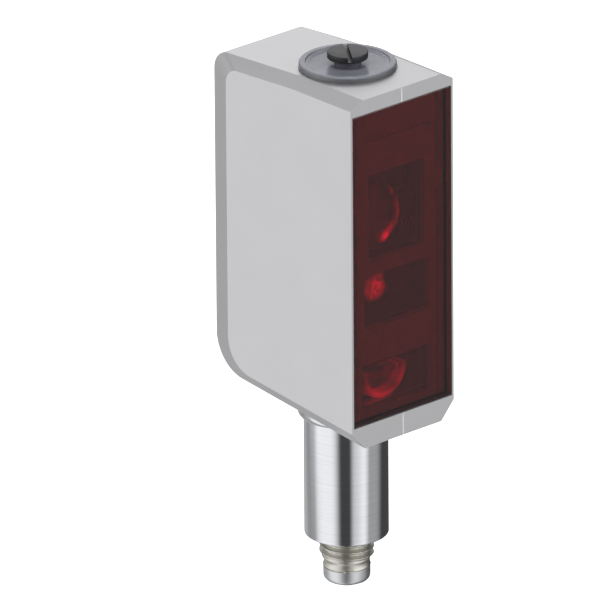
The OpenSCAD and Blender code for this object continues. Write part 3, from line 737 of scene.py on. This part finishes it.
def connector():
    """Nickel-plated sleeve with a real helical thread that runs out into the neck, and a snap zone."""
    steps, turns, rows_per_turn = 192, 4.1, 24
    start_z = -STEM_L + 0.15
    length = turns * THREAD_PITCH
    end_z = start_z - length
    run_out = 0.8
    depth = THREAD_R - THREAD_ROOT_R
    bm = bmesh.new()
    rows = []
    count = int(turns * rows_per_turn)
    for k in range(count + 1):
        z = start_z - length * k / count
        turn = (start_z - z) / THREAD_PITCH
        fade = min(1.0, max(0.0, (z - end_z) / run_out))
        radius_at = lambda share: THREAD_ROOT_R + depth * thread_height(turn, share) * fade
        rows.append(ring(bm, radius_at, z, steps))
    waist_r, waist_z = THREAD_ROOT_R - 0.1, SNAP_SEAM + 0.85
    flare_r, flare_z = SNAP_R - 0.12, SNAP_SEAM + 0.5
    edge_z = SNAP_SEAM + 0.25
    spigot_r, spigot_z = SNAP_R - 0.25, SNAP_SEAM - 0.55
    tail = [(waist_r, waist_z + 0.08), (waist_r + 0.01, waist_z), (flare_r, flare_z),
            (SNAP_R - 0.03, edge_z + 0.07), (SNAP_R, edge_z), (SNAP_R - 0.02, edge_z - 0.07),
            (SNAP_R - 0.09, edge_z - 0.11), (spigot_r, edge_z - 0.12),
            (spigot_r, spigot_z), (SOCKET_R, spigot_z), (SOCKET_R, start_z)]
    for r, z in tail:
        rows.append(ring(bm, lambda share: r, z, steps))
    for low, high in zip(rows, rows[1:] + rows[:1]):
        skin(bm, low, high)
    add_key(bm, SNAP_SEAM + 0.05)
    bmesh.ops.recalc_face_normals(bm, faces=bm.faces)
    obj = mesh_object("connector_sleeve", bm)
    finished(obj, MATERIALS["nickel"], "body", "connector_body", 40)


def snap_ring():
    """The ring at the connector's end, with a rounded lower edge."""
    rounding = 0.75
    ring_r = SNAP_R - 0.05
    edge = 0.05
    seat_r, seat_z = SNAP_R - 0.24, SNAP_SEAM - 0.6
    low = RING_LOW.z
    profile = (arc(ring_r - rounding, low + rounding, rounding, -90, 0, 10)
               + [(ring_r, SNAP_SEAM - edge), (ring_r - 0.04, SNAP_SEAM), (seat_r, SNAP_SEAM),
                  (seat_r, seat_z), (SOCKET_R, seat_z), (SOCKET_R, low + 0.12), (SOCKET_R + 0.06, low)])
    obj = mesh_object("snap_end_ring", lathe(profile))
    finished(obj, SNAP_RING_MATERIAL, "body", "snap_ring", 35)


# ---------------------------------------------------------------- indicator window and adjuster

def indicator():
    """The window: a raised rim, a slope down to the dish, and a neck around the knob's hub."""
    bore_r, spigot_r = 1.23, 5.0
    low_edge = 0.05
    outer_round, inner_round = 0.32, 0.08
    inner_r = DISC_R - 0.95
    step_z = RIM_TOP - 0.18
    slope_end = DISC_R - 1.64
    neck_r, neck_round, neck_edge = 1.9, 0.15, 0.06
    profile = ([(bore_r, DISC_LOW.z), (spigot_r, DISC_LOW.z), (spigot_r, SEAT_Z),
                (DISC_R - low_edge, SEAT_Z), (DISC_R, SEAT_Z + low_edge)]
               + arc(DISC_R - outer_round, RIM_TOP - outer_round, outer_round, 0, 90, 8)
               + arc(inner_r + inner_round, RIM_TOP - inner_round, inner_round, 90, 170, 5)
               + [(inner_r - 0.08, step_z), (inner_r - 0.2, step_z - 0.02),
                  (slope_end + 0.1, DISH_TOP + 0.05), (slope_end, DISH_TOP + 0.015),
                  (slope_end - 0.15, DISH_TOP)]
               + arc(neck_r + neck_round, DISH_TOP + neck_round, neck_round, 270, 180, 5)
               + [(neck_r, NECK_TOP - neck_edge), (neck_r - neck_edge, NECK_TOP), (bore_r, NECK_TOP)])
    obj = mesh_object("indicator_lens", lathe(profile, centre=(0, ADJUSTER_Y)))
    finished(obj, MATERIALS["indicator_clear"], "body", "indicator_window", 35)


def knob():
    """Slotted head on a hub, with the edges slightly rounded from moulding."""
    knob_r = KNOB_HIGH.x
    top = KNOB_HIGH.z
    under = top - 0.93
    hub_r, bore_r = 1.75, 1.25
    edge = 0.12
    slot_half, slot_length, slot_floor, slot_turn = 0.31, 10, top - 0.72, 55
    profile = ([(0, KNOB_LOW.z), (hub_r, KNOB_LOW.z), (hub_r, under), (knob_r - edge, under)]
               + arc(knob_r - edge, under + edge, edge, -80, 0, 5)
               + arc(knob_r - edge, top - edge, edge, 0, 90, 6)
               + [(0, top)])
    obj = mesh_object("adjuster_head", lathe(profile, 160, (0, ADJUSTER_Y), closed=False))
    slot = box_bm((-slot_length / 2, -slot_half, slot_floor), (slot_length / 2, slot_half, top + PAST))
    turn = Matrix.Rotation(math.radians(slot_turn), 3, "Z")
    bmesh.ops.rotate(slot, cent=(0, 0, 0), matrix=turn, verts=slot.verts)
    bmesh.ops.translate(slot, vec=(0, ADJUSTER_Y, 0), verts=slot.verts)
    bore = rod_bm(0, ADJUSTER_Y, bore_r, KNOB_LOW.z - PAST, under + 0.05, 64)
    carve(obj, slot, bore)
    bevel(obj, 0.035, 2, 40)
    finished(obj, MATERIALS["knob_black"], "adjuster", "adjuster_knob")


# ---------------------------------------------------------------- front screen and optics

def screen():
    """The red window. Its side faces are opaque, so that they don't mirror the inside."""
    obj = mesh_object("red_front_screen", box_bm(SCREEN_LOW, SCREEN_HIGH))
    finished(obj, MATERIALS["screen_red"], "body", "front_screen")
    obj.data.materials.append(SCREEN_EDGE_MATERIAL)
    for face in obj.data.polygons:
        face.material_index = 0 if abs(face.normal.y) > 0.5 else 1
    bevel(obj, 0.08, 3, 30)


def domed_lens(name, low, high, z, dome, node, body, glow):
    """A lens turned about an axis along Y: a domed front, a thin cylindrical edge and a flat rear."""
    edge = 0.06
    r = high.x
    dome_r = (r * r + dome * dome) / (2 * dome)
    wide = math.degrees(math.asin(r / dome_r))
    front = [(px, dome - dome_r + py) for px, py in arc(0, 0, dome_r, 90, 90 - wide, 24)]
    rear = low.y + dome - high.y
    profile = front[:-1] + [(r, -edge), (r, rear + edge), (r - edge, rear), (0, rear)]
    bm = lathe(profile, 128, closed=False)
    turn = Matrix.Rotation(math.radians(90), 3, "X")
    bmesh.ops.rotate(bm, cent=(0, 0, 0), matrix=turn, verts=bm.verts)
    bmesh.ops.translate(bm, vec=(0, low.y + dome, z), verts=bm.verts)
    finished(mesh_object(name, bm), lens_with_painted_glow(name + "_plastic", glow), body, node, 40)


def half_disc(r, y0, y1, z, flat):
    """A disc cut flat above, along Y from y0 to y1."""
    steps = 48
    lift = math.degrees(math.asin(flat / r))
    points = arc(0, z, r, 180 - lift, 360 + lift, steps)
    bm = bmesh.new()
    loft(bm, [[bm.verts.new((x, y, pz)) for x, pz in points] for y in (y0, y1)])
    return bm


def near_lens():
    """The near receiver's lens, with a rim that stands forward of it."""
    rim_w = 0.9
    lens_t = 1.0
    rim_gap = 1e-3
    flat = NEAR_HIGH.z - NEAR_Z
    obj = mesh_object("near_range_lens", half_disc(NEAR_R, NEAR_LOW.y, NEAR_HIGH.y, NEAR_Z, flat))
    hollow_flat = flat - rim_w + rim_gap
    carve(obj, half_disc(NEAR_R - rim_w, NEAR_LOW.y - PAST, NEAR_HIGH.y - lens_t, NEAR_Z, hollow_flat))
    bevel(obj, 0.07, 2, 40)
    finished(obj, lens_with_painted_glow("near_lens_plastic_painted_glow", near_painted_glow), "body", "near_lens")


# ---------------------------------------------------------------- camera, floor and light

AZIMUTH, ELEVATION, ROLL = -42.036, 22.141, -0.396
AIM = Vector((-5.0765, 2.6289, 16.9192))
DISTANCE = 2333.7
LENS = 975.4


FLOOR_HALF = 6000
FLOOR_GLOW = 0.9

# the world: room level and colour, then strips and domes of light as azimuth, elevation, inner and outer
# half angle, strength; a strip keeps its strength all the way up
WORLD_LEVEL = 0.07
WORLD_COLOR = (0.99, 0.995, 1.0, 1)
STRIPS = [
    (170, 0, 6.6, 44.7, 1.13),
    (266, 0, 6.6, 30.6, 0.79),
    (300, 0, 9.8, 44.8, 0.38),
    (99, 0, 20, 55, 0.30),
]
DOMES = [
    (47.5, 24, 9.4, 31, 1.16),
    (132, 5, 9.8, 39.6, 0.47),
    (300, 20, 10, 40, 0.98),
    (66, -41, 10, 32, 0.20),
]
# lamps as name, azimuth, elevation, distance, width, height, watts
LAMPS = [
    ("top_box", 200, 84, 1.1, 0.5, 0.5, 1.5),
]


def toward(azimuth, elevation):
    """The unit vector at an azimuth from +X and an elevation, in degrees."""
    az, el = math.radians(azimuth), math.radians(elevation)
    return Vector((math.cos(az) * math.cos(el), math.sin(az) * math.cos(el), math.sin(el)))


def camera():
    """Long lens at the photograph's viewing angle. Azimuth 0 looks along +Y."""
    roll = math.radians(ROLL)
    back = toward(AZIMUTH - 90, ELEVATION)
    level = toward(AZIMUTH, 0)
    rise = back.cross(level)
    right = math.cos(roll) * level + math.sin(roll) * rise
    up = -math.sin(roll) * level + math.cos(roll) * rise
    data = bpy.data.cameras.new("camera")
    data.lens = LENS
    data.sensor_width = 36
    data.clip_start = 0.1
    data.clip_end = 50
    obj = link("camera", data)
    turn = Matrix((right, up, back)).transposed().to_4x4()
    obj.matrix_world = Matrix.Translation((AIM + back * DISTANCE) * MM) @ turn
    bpy.context.scene.camera = obj


def softbox(name, azimuth, elevation, distance, width, height, watts):
    """A rectangular lamp, in metres, aimed at the middle of the object."""
    centre = Vector((0, 0, (HOUSE_LOW.z + HOUSE_HIGH.z) / 2 * MM))
    away = toward(azimuth, elevation)
    data = bpy.data.lights.new(name, "AREA")
    data.shape = "RECTANGLE"
    data.size = width
    data.size_y = height
    data.energy = watts
    obj = link(name, data)
    obj.location = centre + away * distance
    obj.rotation_euler = away.to_track_quat("Z", "Y").to_euler()


def floor():
    """A pale floor that glows a little, so that it stays as light as the photograph's background."""
    n = Nodes("pale_floor")
    cloud = n.noise(0.01, 2)
    n.set(Base_Color=n.mix(cloud, (0.9, 0.9, 0.9, 1), (0.93, 0.93, 0.93, 1)), Roughness=0.9)
    n.shader.inputs["Emission Color"].default_value = (1, 1, 1, 1)
    n.shader.inputs["Emission Strength"].default_value = FLOOR_GLOW
    level = CAD_BOUNDS[0][2] / MM
    bm = bmesh.new()
    corners = [(-FLOOR_HALF, -FLOOR_HALF), (FLOOR_HALF, -FLOOR_HALF), (FLOOR_HALF, FLOOR_HALF),
               (-FLOOR_HALF, FLOOR_HALF)]
    bm.faces.new([bm.verts.new((x, y, level)) for x, y in corners])
    obj = mesh_object("floor", bm)
    obj.data.materials.append(n.material)
    obj.visible_glossy = False


def studio():
    """A dim room with one lamp above; the world's large soft lights show as smooth bands in the metals."""
    scene = bpy.context.scene
    scene.view_settings.view_transform = "Standard"
    world = bpy.data.worlds.new("studio")
    world.use_nodes = True
    scene.world = world
    sky = Tree(world.node_tree)
    direction = sky.add("ShaderNodeTexCoord").outputs["Generated"]
    flat = sky.vector("MULTIPLY", {0: direction, 1: (1, 1, 0)})
    level = sky.vector("NORMALIZE", {0: flat})

    def patch(along, azimuth, elevation, inner, outer, strength):
        """Light within inner degrees of a direction, fading to none at outer degrees."""
        facing = sky.vector("DOT_PRODUCT", {0: along, 1: toward(azimuth, elevation)}, "Value")
        inputs = {"Value": facing, "From Min": math.cos(math.radians(outer)),
                  "From Max": math.cos(math.radians(inner)), "To Max": strength}
        return sky.add("ShaderNodeMapRange", inputs, interpolation_type="SMOOTHSTEP").outputs["Result"]

    total = WORLD_LEVEL
    for part in [patch(level, *strip) for strip in STRIPS] + [patch(direction, *dome) for dome in DOMES]:
        total = sky.math("ADD", part, total)
    background = sky.tree.nodes["Background"]
    sky.put(background.inputs["Color"], WORLD_COLOR)
    sky.put(background.inputs["Strength"], total)
    for lamp in LAMPS:
        softbox(*lamp)


dress_cad_nodes()
housing()
stem()
connector()
snap_ring()
indicator()
knob()
screen()
domed_lens("receiver_lens_moulding", RECEIVER_LOW, RECEIVER_HIGH, RECEIVER_Z, RECEIVER_DOME,
           "receiver_lens", "carriage", receiver_painted_glow)
domed_lens("sender_lens_moulding", SENDER_LOW, SENDER_HIGH, SENDER_Z, SENDER_DOME,
           "sender_lens", "body", sender_painted_glow)
near_lens()
camera()
floor()
studio()
